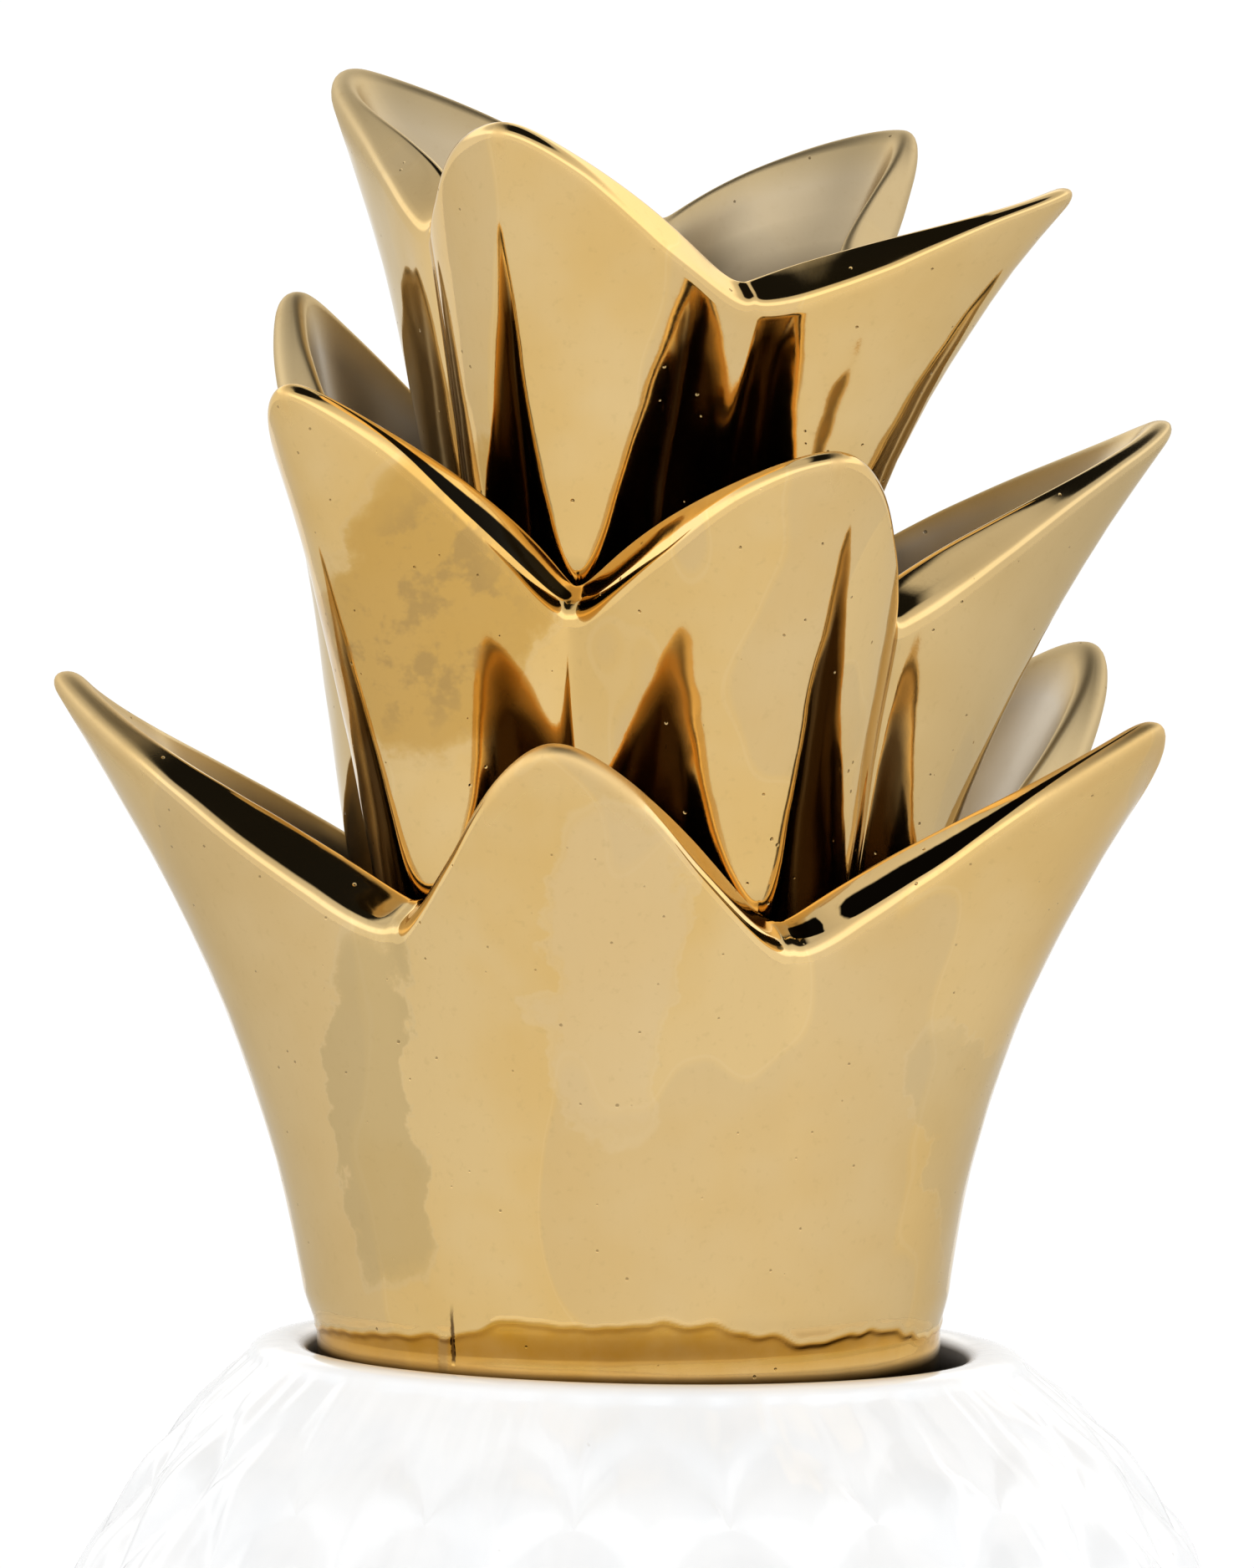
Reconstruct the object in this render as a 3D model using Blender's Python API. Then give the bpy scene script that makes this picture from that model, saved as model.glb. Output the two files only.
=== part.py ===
"""Ceramic pineapple jar: a hollow white body carved with pointed scales, and a gold crown of
three nested tiers of leaves that lifts off as the lid. Metres, +Z up, front towards -Y."""
import math

import bmesh
import bpy

MM = 0.001

# jar body
MOUTH_Z = 146.0
MOUTH_R = 29.4
RIM_OUTER_R = 34.0
BODY_R = 62.7
EQUATOR_Z = 72.0
SHOULDER_REACH = 86.0
SHOULDER_POWER = 2.08
HIP_REACH = 84.5
HIP_POWER = 2.4
WALL = 4.4
FLOOR_Z = 6.5
FLOOR_EDGE = 7.0
FLOOR_CORNER = (2.0, 4.0, 2.5)
FOOT_RING_R = 33.0
FOOT_EDGE_R = 38.0
FOOT_RECESS = 2.0
FOOT_CHAMFER = 1.5
RIM_FALL = 1.0
RIM_LIP = 2.2
RIM_CORNER = 0.9
LEDGE_Z = 140.4
LEDGE_R = 26.0
LEDGE_T = 3.2
SCALES_ROUND = 20
SCALE_ROWS = 14
SCALE_RELIEF = 1.2
SCALES_LOW = 3.0
SCALES_HIGH = 143.6
SCALE_GROWTH = 0.55
SCALE_FADE = (1.5, 2.0)
CURVE_STEPS = 400
INSIDE_STEPS = 7
INSIDE_ENDS = (6.0, 3.7)
JAR_FOOT_POINTS = 4

# crown lid, heights counted from the rim of the mouth
LID_X = -0.8
LID_COLUMNS = 76
FOOT_R = 27.7
FOOT_BOTTOM = -5.2
SPIGOT_R = 24.8
SPIGOT_BOTTOM = -12.0
SPIGOT_WALL = 3.0
CUP_FLOOR = 79.0
CUP_EDGE = (9.0, 80.0)
WALL_IN = 3.4
CUT_SLANT = 0.45
INNER_ROUND = 0.7
VALLEY_SOFT = 0.07
SWELL_POWER = 2.0
TROUGH = (27.5, 28.5)
TIER_FLOORS = (31.0, 59.5, 84.0)
TIER_STEPS = (4, 2, 2)
UNDERSIDE = [
    (0.0, 75.0),
    (8.5, 70.0),
    (9.5, 57.0),
    (16.5, 53.0),
    (17.3, 28.0),
    (25.8, 24.5),
    (26.9, 19.0),
    (24.4, 1.0),
    (SPIGOT_R - SPIGOT_WALL, SPIGOT_BOTTOM),
]
FOOT = [
    (SPIGOT_R, SPIGOT_BOTTOM),
    (SPIGOT_R, FOOT_BOTTOM),
    (FOOT_R, FOOT_BOTTOM),
    (FOOT_R, -1.4),
    (FOOT_R - 0.3, -0.6),
]

# Each tier has its foot (height, radius under a leaf, radius under a valley), the slope of its
# wall, how fast it flares, how soft its ridges are, how its edges fall, the edge's thickness at
# tip and valley with its swell between them, and the radius of its outer rounding at tip and
# valley. Then come its leaves (azimuth, height, radius, bluntness of the tip, pinch of the
# sides) and its valleys (azimuth, height, radius). Azimuth is in degrees from the front,
# growing to the right.
LOWER_TIER = {
    "foot": (1.5, 28.6, 28.6),
    "slope": 0.10,
    "flare": 1.85,
    "keel": 0.9,
    "fall": 1.15,
    "edge": (3.4, 4.4, 1.8),
    "round": (3.9, 3.0),
    "leaves": [
        (-86, 60.5, 51.6, 0.07, 1.0),
        (-9, 57.4, 44.0, 0.16, 1.0),
        (60, 58.5, 54.5, 0.07, 1.0),
        (126, 60.5, 52.5, 0.16, 1.0),
        (195, 58.0, 50.0, 0.1, 1.0),
    ],
    "valleys": [
        (-39, 42.5, 34.0),
        (26, 41.0, 34.5),
        (94, 41.0, 35.0),
        (163, 41.0, 35.0),
        (229, 43.3, 34.7),
    ],
}
MIDDLE_TIER = {
    "foot": (30.0, 26.0, 21.0),
    "slope": 0.12,
    "flare": 1.9,
    "keel": 0.16,
    "fall": 1.05,
    "edge": (3.2, 4.0, 1.6),
    "round": (3.6, 2.8),
    "leaves": [
        (-44, 88.6, 44.0, 0.1, 1.0),
        (27, 83.0, 41.5, 0.16, 1.0),
        (100, 82.0, 49.0, 0.07, 1.0),
        (171, 84.0, 42.0, 0.1, 1.0),
        (241, 93.0, 35.5, 0.1, 1.2),
    ],
    "valleys": [
        (-12, 70.5, 26.0),
        (64, 68.0, 27.5),
        (136, 66.5, 27.0),
        (206, 72.0, 26.0),
        (279, 73.0, 27.0),
    ],
}
UPPER_TIER = {
    "foot": (60.0, 19.0, 14.5),
    "slope": 0.10,
    "flare": 2.0,
    "keel": 0.16,
    "fall": 1.05,
    "edge": (3.0, 3.8, 1.8),
    "round": (3.3, 2.6),
    "leaves": [
        (-130, 112.8, 33.5, 0.07, 2.6),
        (-22, 112.5, 31.5, 0.12, 1.0),
        (77, 104.5, 40.0, 0.07, 1.0),
        (134, 107.5, 36.0, 0.25, 1.0),
    ],
    "valleys": [(-64, 103.0, 20.5), (28, 97.5, 25.0), (112, 97.0, 25.0), (171, 100.0, 22.0)],
}


def lerp(a, b, t):
    return a + (b - a) * t


def clear_scene():
    for item in list(bpy.data.objects):
        bpy.data.objects.remove(item, do_unlink=True)


def add_material(name, color, roughness, metallic):
    material = bpy.data.materials.new(name)
    material.use_nodes = True
    shader = material.node_tree.nodes["Principled BSDF"]
    shader.inputs["Base Color"].default_value = (color[0], color[1], color[2], 1.0)
    shader.inputs["Roughness"].default_value = roughness
    shader.inputs["Metallic"].default_value = metallic
    material.diffuse_color = (color[0], color[1], color[2], 1.0)
    return material


def lathe_grid(name, sections, material, smooth, groove=None):
    """One closed skin of columns round the axis; each column holds its section, pole to pole.
    With a groove rule, faces are cut along the grooves, so that each scale keeps its facets."""
    columns = len(sections)
    rows = len(sections[0]) - 1
    bm = bmesh.new()
    bmesh.ops.create_grid(bm, x_segments=columns, y_segments=rows, size=0.5)
    place = {}
    for vert in bm.verts:
        column = round((vert.co.x + 0.5) * columns) % columns
        row = round((vert.co.y + 0.5) * rows)
        place[vert] = (column, row)
    if groove:
        for face in list(bm.faces):
            low = [vert for vert in face.verts if groove(place[vert][0], place[vert][1])]
            if len(low) == 2:
                bmesh.utils.face_split(face, low[0], low[1])
    for vert, (column, row) in place.items():
        vert.co = sections[column][row]
    bmesh.ops.remove_doubles(bm, verts=bm.verts, dist=0.00002)
    bmesh.ops.triangulate(bm, faces=bm.faces)
    bmesh.ops.recalc_face_normals(bm, faces=bm.faces)
    mesh = bpy.data.meshes.new(name)
    bm.to_mesh(mesh)
    bm.free()
    for polygon in mesh.polygons:
        polygon.use_smooth = smooth
    mesh.materials.append(material)
    item = bpy.data.objects.new(name, mesh)
    bpy.context.collection.objects.link(item)
    return item


def point(azimuth, radius, height, shift=0.0):
    """A point in metres at an azimuth in radians from the front, growing to the right."""
    return (
        (shift + radius * math.sin(azimuth)) * MM,
        -radius * math.cos(azimuth) * MM,
        height * MM,
    )


def body_radius(z):
    """The jar's round form under its scales: full shoulder, narrower hip, cut flat at the foot."""
    if z > EQUATOR_Z:
        reach = (z - EQUATOR_Z) / SHOULDER_REACH
        return BODY_R * (1.0 - reach**SHOULDER_POWER) ** (1.0 / SHOULDER_POWER)
    reach = (EQUATOR_Z - z) / HIP_REACH
    return BODY_R * (1.0 - reach**HIP_POWER) ** (1.0 / HIP_POWER)


def scale_levels():
    """Heights of the scale rows, from the foot to the mouth, evenly spread along the curve."""
    steps = CURVE_STEPS
    heights = [lerp(SCALES_LOW, SCALES_HIGH, i / steps) for i in range(steps + 1)]
    lengths = [0.0]
    for a, b in zip(heights, heights[1:]):
        width = 0.5 * (body_radius(a) + body_radius(b))
        step = math.hypot(b - a, body_radius(b) - body_radius(a))
        lengths.append(lengths[-1] + step / width**SCALE_GROWTH)
    levels = []
    for row in range(SCALE_ROWS + 1):
        goal = lengths[-1] * row / SCALE_ROWS
        index = min(range(steps + 1), key=lambda i: abs(lengths[i] - goal))
        levels.append(heights[index])
    return levels


def is_peak(column, row):
    return (column + row) % 2 == 0


def jar_sections():
    levels = scale_levels()
    columns = 2 * SCALES_ROUND
    sections = []
    for column in range(columns):
        azimuth = 2 * math.pi * column / columns
        section = [(0.0, FOOT_RECESS), (FOOT_RING_R - FOOT_CHAMFER, FOOT_RECESS)]
        section.append((FOOT_RING_R, 0.0))
        section.append((FOOT_EDGE_R, 0.0))
        for row, z in enumerate(levels):
            fade = min(1.0, row / SCALE_FADE[0], (SCALE_ROWS - row) / SCALE_FADE[1])
            relief = SCALE_RELIEF * fade if is_peak(column, row) else 0.0
            section.append((body_radius(z) + relief, z))
        section.append((RIM_OUTER_R, MOUTH_Z - RIM_FALL))
        section.append((MOUTH_R + RIM_LIP, MOUTH_Z))
        section.append((MOUTH_R, MOUTH_Z - RIM_CORNER))
        section.append((MOUTH_R, LEDGE_Z))
        section.append((LEDGE_R, LEDGE_Z))
        section.append((LEDGE_R, LEDGE_Z - LEDGE_T))
        for step in range(INSIDE_STEPS):
            part = 0.5 - 0.5 * math.cos(math.pi * step / INSIDE_STEPS)
            z = lerp(LEDGE_Z - LEDGE_T - INSIDE_ENDS[1], FLOOR_Z + INSIDE_ENDS[0], part)
            section.append((body_radius(z) - WALL, z))
        inset, level, rise = FLOOR_CORNER
        section.append((body_radius(FLOOR_Z + level) - WALL - inset, FLOOR_Z + rise))
        section.append((body_radius(FLOOR_Z) - WALL - FLOOR_EDGE, FLOOR_Z))
        section.append((0.0, FLOOR_Z))
        sections.append([point(azimuth, r, z) for r, z in section])
    return sections


def jar_groove(column, row):
    """True on the corners where scales meet; the split follows the grooves between them."""
    index = row - JAR_FOOT_POINTS
    return 0 <= index <= SCALE_ROWS and not is_peak(column, index)


class Tier:
    """One cup of leaves: its wall, its cut edge and its thickness round the axis."""

    def __init__(self, data):
        self.data = data
        stops = []
        for azimuth, height, radius, blunt, pinch in data["leaves"]:
            stops.append((math.radians(azimuth), height, radius, 1.0, blunt, pinch))
        for azimuth, height, radius in data["valleys"]:
            stops.append((math.radians(azimuth), height, radius, 0.0, 0.0, 1.0))
        stops.sort()
        first = stops[0]
        stops.append((first[0] + 2 * math.pi,) + first[1:])
        self.stops = stops
        self.start = stops[0][0]

    def azimuth(self, column, columns):
        """The column's azimuth, moved a little so that tips and valleys fall on columns."""
        turn = 2 * math.pi
        plain = turn * column / columns
        count = round((plain - self.start) / turn * columns) % columns
        knots = [round((stop[0] - self.start) / turn * columns) for stop in self.stops]
        index = max(i for i in range(len(self.stops) - 1) if knots[i] <= count)
        part = (count - knots[index]) / (knots[index + 1] - knots[index])
        azimuth = lerp(self.stops[index][0], self.stops[index + 1][0], part)
        return plain + (azimuth - plain + math.pi) % turn - math.pi

    def locate(self, azimuth):
        """The leaf and valley around an azimuth, and how far it is from leaf (0) to valley (1)."""
        turn = 2 * math.pi
        azimuth = self.start + (azimuth - self.start) % turn
        for a, b in zip(self.stops, self.stops[1:]):
            if a[0] <= azimuth <= b[0] + 1e-9:
                part = min(1.0, max(0.0, (azimuth - a[0]) / (b[0] - a[0])))
                if a[3] > 0.5:
                    return a, b, part
                return b, a, 1.0 - part
        return self.stops[0], self.stops[1], 0.0

    def ease(self, part, soft):
        """Runs from 1 at the leaf's middle to 0 at the valley, rounded at both ends."""
        top = math.sqrt(1.0 + soft * soft) - soft
        fall = max(0.0, 1.0 - (math.sqrt(part * part + soft * soft) - soft) / top)
        low = math.sqrt(1.0 + VALLEY_SOFT**2) - VALLEY_SOFT
        return (math.sqrt(fall * fall + VALLEY_SOFT**2) - VALLEY_SOFT) / low

    def flare(self, stop, root):
        base, slope, power = self.data["foot"][0], self.data["slope"], self.data["flare"]
        rise = stop[1] - base
        return (stop[2] - root - slope * rise) / rise**power

    def radius(self, azimuth, height):
        leaf, valley, part = self.locate(azimuth)
        base, leaf_root, valley_root = self.data["foot"]
        along = self.ease(part, self.data["keel"]) ** leaf[5]
        root = lerp(valley_root, leaf_root, along)
        flare = lerp(self.flare(valley, valley_root), self.flare(leaf, leaf_root), along)
        rise = max(0.0, height - base)
        return root + self.data["slope"] * (height - base) + flare * rise ** self.data["flare"]

    def rim(self, azimuth):
        """Height of the cut edge, its thickness and the radius of its outer rounding."""
        leaf, valley, part = self.locate(azimuth)
        fall = self.ease(part, leaf[4])
        height = lerp(valley[1], leaf[1], fall ** self.data["fall"])
        tip, low, swell = self.data["edge"]
        late = part**SWELL_POWER
        thick = lerp(tip, low, part) + swell * 4.0 * late * (1.0 - late)
        return height, thick, lerp(self.data["round"][0], self.data["round"][1], part)

    def edge(self, azimuth, steps):
        """(depth into the wall, height) over the edge: its rounding, then the slanting cut face."""
        top, thick, round_r = self.rim(azimuth)
        last = 0.5 * math.pi - math.atan(CUT_SLANT)
        first = round_r * (1.0 - math.cos(last))
        end = thick - INNER_ROUND
        low = top - CUT_SLANT * (end - first) - round_r * math.sin(last)
        line = []
        for step in range(steps + 1):
            turn = last * step / steps
            line.append((round_r * (1.0 - math.cos(turn)), low + round_r * math.sin(turn)))
        line.append((end, top))
        line.append((thick, top - INNER_ROUND))
        return line

    def section(self, azimuth, floor):
        """Points from the foot of the wall over its edge and down inside to the floor."""
        wall_steps, round_steps, inner_steps = TIER_STEPS
        edge = self.edge(azimuth, round_steps)
        base = self.data["foot"][0]
        points = []
        for step in range(wall_steps):
            height = lerp(base, edge[0][1], step / wall_steps)
            points.append((self.radius(azimuth, height), height))
        points += [(self.radius(azimuth, height) - depth, height) for depth, height in edge]
        thick, start = edge[-1]
        for step in range(1, inner_steps + 1):
            part = step / inner_steps
            height = lerp(start, floor, part)
            points.append((self.radius(azimuth, height) - lerp(thick, WALL_IN, part), height))
        return points


def lid_sections():
    tiers = [Tier(LOWER_TIER), Tier(MIDDLE_TIER), Tier(UPPER_TIER)]
    sections = []
    for column in range(LID_COLUMNS):
        spans = [tier.azimuth(column, LID_COLUMNS) for tier in tiers]
        section = [(spans[0], radius, height) for radius, height in UNDERSIDE + FOOT]
        for tier, span, floor in zip(tiers, spans, TIER_FLOORS):
            section += [(span, radius, height) for radius, height in tier.section(span, floor)]
            if tier is tiers[0]:
                section.append((0.5 * (spans[0] + spans[1]), TROUGH[0], TROUGH[1]))
        section.append((spans[2], CUP_EDGE[0], CUP_EDGE[1]))
        section.append((spans[2], 0.0, CUP_FLOOR))
        sections.append([point(a, r, MOUTH_Z + h, LID_X) for a, r, h in section])
    return sections


def main():
    clear_scene()
    white = add_material("white_glaze", (0.90, 0.90, 0.89), 0.15, 0.0)
    gold = add_material("gold_lustre", (0.83, 0.66, 0.38), 0.15, 1.0)
    lathe_grid("jar_body", jar_sections(), white, False, jar_groove)
    lathe_grid("crown_lid", lid_sections(), gold, True)


main()
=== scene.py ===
"""Looks of a ceramic pineapple jar: a white glazed body covered in raised scales, and a crown of
three nested rings of leaves in gold lustre, which is its lid. Lengths named here are in
millimetres unless they say otherwise; the scene itself is in metres, +Z up, front towards -Y."""

import math
from collections import namedtuple

import bmesh
import bpy
from mathutils import Matrix, Vector, noise


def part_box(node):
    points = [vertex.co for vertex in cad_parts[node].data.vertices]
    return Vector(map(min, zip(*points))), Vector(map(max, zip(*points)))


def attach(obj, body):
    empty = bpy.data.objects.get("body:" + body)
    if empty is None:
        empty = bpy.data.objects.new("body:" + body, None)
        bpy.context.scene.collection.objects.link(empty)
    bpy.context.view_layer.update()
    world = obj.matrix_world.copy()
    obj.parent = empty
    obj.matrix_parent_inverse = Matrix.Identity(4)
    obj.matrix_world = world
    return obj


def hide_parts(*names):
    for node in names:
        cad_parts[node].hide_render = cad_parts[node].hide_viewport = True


bl_info = {
    "name": "Ceramic Pineapple Jar",
    "version": (1, 0, 0),
    "blender": (4, 5, 0),
    "location": "3D View > Sidebar > Pineapple",
    "description": "Builds a glazed pineapple jar with a gold lustre crown, and a studio for it",
    "category": "Add Mesh",
}

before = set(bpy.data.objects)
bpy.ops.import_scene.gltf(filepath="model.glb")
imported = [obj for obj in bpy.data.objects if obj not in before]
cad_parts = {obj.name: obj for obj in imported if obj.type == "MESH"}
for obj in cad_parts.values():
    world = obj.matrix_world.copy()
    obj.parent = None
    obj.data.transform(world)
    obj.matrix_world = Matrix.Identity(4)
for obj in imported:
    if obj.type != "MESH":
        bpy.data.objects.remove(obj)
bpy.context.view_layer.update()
MM = 0.001
TURN = 2.0 * math.pi

# Names of what the meshes hold for their materials, from 0 to 1: how far a place lies out of the
# light, for painted shade, how deep it lies in a groove between scales, which also sets painted
# shade on the glaze, how silvery the inside of a leaf is, how satin the lustre is, how much painted
# dark reflection lies on a cut edge, and how far a place lies under the foot's lip, where painted
# shade deepens the lustre.
PAINTED_SHADE = "recess"
GROOVE = "groove"
PALE = "pale"
SATIN = "satin"
DARK_REFLECTION = "pooled"
UNDER_LIP = "under_lip"
CROWN_MARKS = [PAINTED_SHADE, PALE, SATIN, DARK_REFLECTION]

# Jar body: its mouth and how far that is off level, its round form, its foot, its inside and the
# ledge that carries the lid. Last, radius and height from the middle of the foot over its ring.
MOUTH_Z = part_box("jar_body")[1].z / MM
MOUTH_R = 29.4
MOUTH_STEPS = 9
MOUTH_TILT = 0.0204
TILT_REACH = 9.0
BODY_R = 62.7
EQUATOR_Z = 72.0
SHOULDER_REACH = 86.0
SHOULDER_POWER = 2.08
HIP_REACH = 84.5
HIP_POWER = 2.4
WALL = 4.4
FLOOR_Z = 6.5
FLOOR_EDGE = 7.0
FOOT_RING_R = 33.0
FOOT_EDGE_R = 38.0
FOOT_RECESS = 2.0
LEDGE_Z = 140.4
LEDGE_R = 26.0
LEDGE_T = 3.2
INSIDE_STEPS = 12
JAR_FOOT = [
    (0.0, FOOT_RECESS),
    (FOOT_RING_R - 2.5, FOOT_RECESS),
    (FOOT_RING_R - 1.2, FOOT_RECESS - 0.3),
    (FOOT_RING_R - 0.3, 0.25),
    (FOOT_RING_R + 0.3, 0.0),
    (FOOT_EDGE_R - 0.5, 0.0),
    (FOOT_EDGE_R + 0.6, 0.4),
]

# Scales: how many stand round the jar, their rows, and the form of one scale. Rows from FINE_FROM
# up are seen closest and have more steps, and those over SOFT_FROM are softer. A scale's size
# varies by chance, and so do its spine and, in the top row, its height. Over them is the collar.
SCALES_ROUND = 20
SCALE_ROWS = 14
SCALE_TURN = math.radians(1.7)
SCALES_LOW = 3.0
SCALES_HIGH = 141.2
SCALE_GROWTH = 0.55
SCALE_OUTLINE = 1.45
SCALE_REACH = 0.94
SCALE_GAP = 0.05
SCALE_LEAST = 0.004
SCALE_UNEVEN = 0.45
SPINE_CHANCE = 40.0
TOP_CHANCE = 90.0
SPINE_HALF = 0.06
SPINE_STRAY = 0.22
PEAK = 1.6
SOFT_PEAK = 2.0
SOFT_GROOVE = 0.2
WAVES_ROUND = 11.0
WAVES_UP = 20.0
COLLAR_ROWS = 0.5
COLLAR_TOP = 144.6
COLUMNS_PER_SCALE = 24
FINE_STEPS = 14
PLAIN_STEPS = 8
FINE_FROM = 11
SOFT_FROM = 11
CURVE_STEPS = 600

# Crown lid, heights counted from the rim of the mouth: how far right of the jar's axis it stands,
# its foot and spigot, the floors between its rings of leaves and in its cup, and its walls.
LID_X = -0.8
LID_COLUMNS = 480
FOOT_R = 28.0
FOOT_BOTTOM = -5.2
SPIGOT_R = 24.8
SPIGOT_BOTTOM = -12.0
SPIGOT_WALL = 3.0
TIER_FLOORS = (31.0, 59.5, 84.0)
TROUGH = (27.5, 28.5)
CUP_EDGE = (9.0, 80.0)
CUP_FLOOR = 79.0
WALL_IN = 3.4

# The leaves' walls are uneven: the width of their waves, and from and to what height these start.
WOBBLE_WIDTH = 21.0
WOBBLE_FROM = (0.0, 6.0)

# The leaves' cut edge: how steeply it slants down to the outside, but for the tips, and how it is
# rounded to the inside at tips and valleys. The edge changes over between two parts of the way
# from a tip to a valley. Then how softly the valleys turn and how the wall swells.
CUT_SLANT = 0.58
TIP_ROUND = 1.15
INNER_ROUND = 0.7
TIP_ENDS = (0.12, 0.55)
VALLEY_SOFT = 0.07
SWELL_POWER = 2.0

# The foot's wall curls in under a wavy lip.
CURL_TOP = 5.4
CURL_LOW = 1.3
CURL_DEPTH = 0.6
LIP_WAVE = 0.4
LIP_RIPPLES = (5.0, 14.0)
LIP_HEIGHT = 0.12
LIP_WIDTH = 0.34
LIP_FADE = (-2.5, 2.5)

# Steps up each stretch of the crown's wall: its foot, its outside, the three parts of its edge
# and its inside.
FOOT_ZONE = 6.6
FOOT_STEPS = 26
WALL_STEPS = 15
ROUND_STEPS = 7
CUT_STEPS = 4
RIM_STEPS = 5
INNER_STEPS = 8

# Where painted shade darkens the crown: from and to below a valley, below an edge in front and
# behind, above the floor of a trough, and under the foot. Between which cosines of the azimuth,
# from behind to the front, that shade and the satin change over. Then how silvery the inside of
# each ring of leaves is, how satin the insides are in front and behind, and how the painted dark
# reflection on a cut face fades over the cut.
DARK_UNDER_VALLEY = (1.0, 10.0)
DARK_IN_FRONT = (-0.5, 4.0)
DARK_BEHIND = (20.0, 38.0)
DARK_OVER_TROUGH = (1.0, 13.0)
DARK_UNDER_FOOT = (-0.5, -0.15)
SHADE_NEAR = (-0.5, 0.3)
SATIN_NEAR = (-0.5, 0.2)
PALE_INSIDE = (1.0, 1.0, 0.35)
SATIN_INSIDE = (0.3, 0.8)
CUT_SHADE = [0.7, 1.0, 0.8, 0.3]

# Radius and height of the lid's hollow underside, from its middle out, and of its spigot and foot.
UNDERSIDE = [
    (0.0, 75.0),
    (8.5, 70.0),
    (9.5, 57.0),
    (16.5, 53.0),
    (17.3, 28.0),
    (25.8, 24.5),
    (26.9, 19.0),
    (24.4, 1.0),
    (SPIGOT_R - SPIGOT_WALL, SPIGOT_BOTTOM),
]
FOOT = [
    (SPIGOT_R, SPIGOT_BOTTOM),
    (SPIGOT_R, FOOT_BOTTOM),
    (FOOT_R - 0.3, FOOT_BOTTOM),
    (FOOT_R, FOOT_BOTTOM + 0.3),
    (FOOT_R, -1.4),
    (FOOT_R, -0.3),
    (FOOT_R, 0.3),
    (FOOT_R, 0.9),
]
# The wavy lip that the mould left round the foot: azimuths in degrees and heights.
LIP_LINE = [
    (-120, 2.4),
    (-90, 1.9),
    (-52, 2.8),
    (-34, 3.4),
    (-22, 4.9),
    (14, 4.8),
    (26, 3.6),
    (34, 2.7),
    (50, 3.2),
    (72, 1.6),
    (110, 2.6),
    (240, 2.4),
]

# Each tier has its foot (height, radius under a leaf, radius under a valley), the slope of its
# wall, how fast it flares, how soft its ridges are and how its edges fall. Then come the wall's
# thickness at tip and valley with its swell between them, the radius of the edge's outer rounding
# at tip and valley, and how far from the tips towards the valleys the edges are satin. A painted
# dark reflection of the ceiling lies on the cut edge round the azimuths that are given with half
# their reach. Last are the leaves (azimuth, height, radius, bluntness of the tip, pinch of the
# sides) and the valleys (azimuth, height, radius). Azimuth is in degrees from the front, growing to
# the right.
LOWER_TIER = {
    "foot": (1.5, 28.6, 28.6),
    "slope": 0.10,
    "flare": 1.85,
    "keel": 0.9,
    "fall": 1.15,
    "edge": (3.4, 4.4, 1.8),
    "round": (2.1, 3.0),
    "satin_tips": (0.26, 0.38),
    "pooled": [(46, 15), (28.8, 2.6)],
    "leaves": [
        (-86, 61.1, 52.7, 0.07, 1.0),
        (-9, 58.3, 44.4, 0.16, 1.0),
        (60, 58.8, 55.7, 0.07, 1.0),
        (126, 60.6, 53.2, 0.16, 1.0),
        (195, 58.0, 50.0, 0.1, 1.0),
    ],
    "valleys": [
        (-39, 42.5, 34.0),
        (26, 41.0, 34.5),
        (94, 41.0, 35.0),
        (163, 41.0, 35.0),
        (229, 43.3, 34.7),
    ],
}
MIDDLE_TIER = {
    "foot": (30.0, 26.0, 21.0),
    "slope": 0.12,
    "flare": 1.9,
    "keel": 0.16,
    "fall": 1.05,
    "edge": (3.2, 4.0, 1.6),
    "round": (1.9, 2.8),
    "satin_tips": (0.0, 0.05),
    "pooled": [(-27, 17)],
    "leaves": [
        (-44, 89.4, 44.8, 0.1, 1.0),
        (27, 83.8, 41.9, 0.16, 1.0),
        (100, 82.6, 50.6, 0.07, 1.0),
        (171, 84.0, 42.0, 0.1, 1.0),
        (241, 93.5, 36.2, 0.1, 1.2),
    ],
    "valleys": [
        (-12, 70.5, 26.0),
        (64, 68.0, 27.5),
        (136, 66.5, 27.0),
        (206, 72.0, 26.0),
        (279, 73.0, 27.0),
    ],
}
UPPER_TIER = {
    "foot": (60.0, 19.0, 14.5),
    "slope": 0.10,
    "flare": 2.0,
    "keel": 0.16,
    "fall": 1.05,
    "edge": (3.0, 3.8, 1.8),
    "round": (1.7, 2.6),
    "satin_tips": (0.0, 0.05),
    "pooled": [],
    "leaves": [
        (-130, 113.3, 34.0, 0.07, 2.6),
        (-22, 112.5, 31.5, 0.12, 1.0),
        (77, 105.0, 41.6, 0.07, 1.0),
        (134, 107.5, 36.0, 0.25, 1.0),
    ],
    "valleys": [(-64, 103.0, 20.5), (28, 97.5, 25.0), (112, 97.0, 25.0), (171, 100.0, 22.0)],
}

# Patches on the crown's front, in metres: middle (across, up), half size, how much of their colour
# they show, and the colour. The first deepens the gold of the middle ring's left leaf; the others
# are painted reflections on the lower ring: a pale one on its front leaf and darker ones low on its
# left and right. Then the spots where it is rubbed.
PATCHES = [
    ((-0.0185, 0.2150), (0.0085, 0.0135), 0.75, (0.58, 0.335, 0.075)),
    ((-0.0028, 0.1830), (0.0066, 0.0155), 0.5, (0.77, 0.58, 0.32)),
    ((-0.0222, 0.1705), (0.0044, 0.0175), 0.42, (0.44, 0.33, 0.155)),
    ((0.0290, 0.1650), (0.0040, 0.0137), 0.25, (0.52, 0.42, 0.25)),
]
RUBBED = [
    ((-0.0185, 0.2150), (0.0064, 0.0105)),
    ((0.0392, 0.2250), (0.0050, 0.0070)),
]

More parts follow.
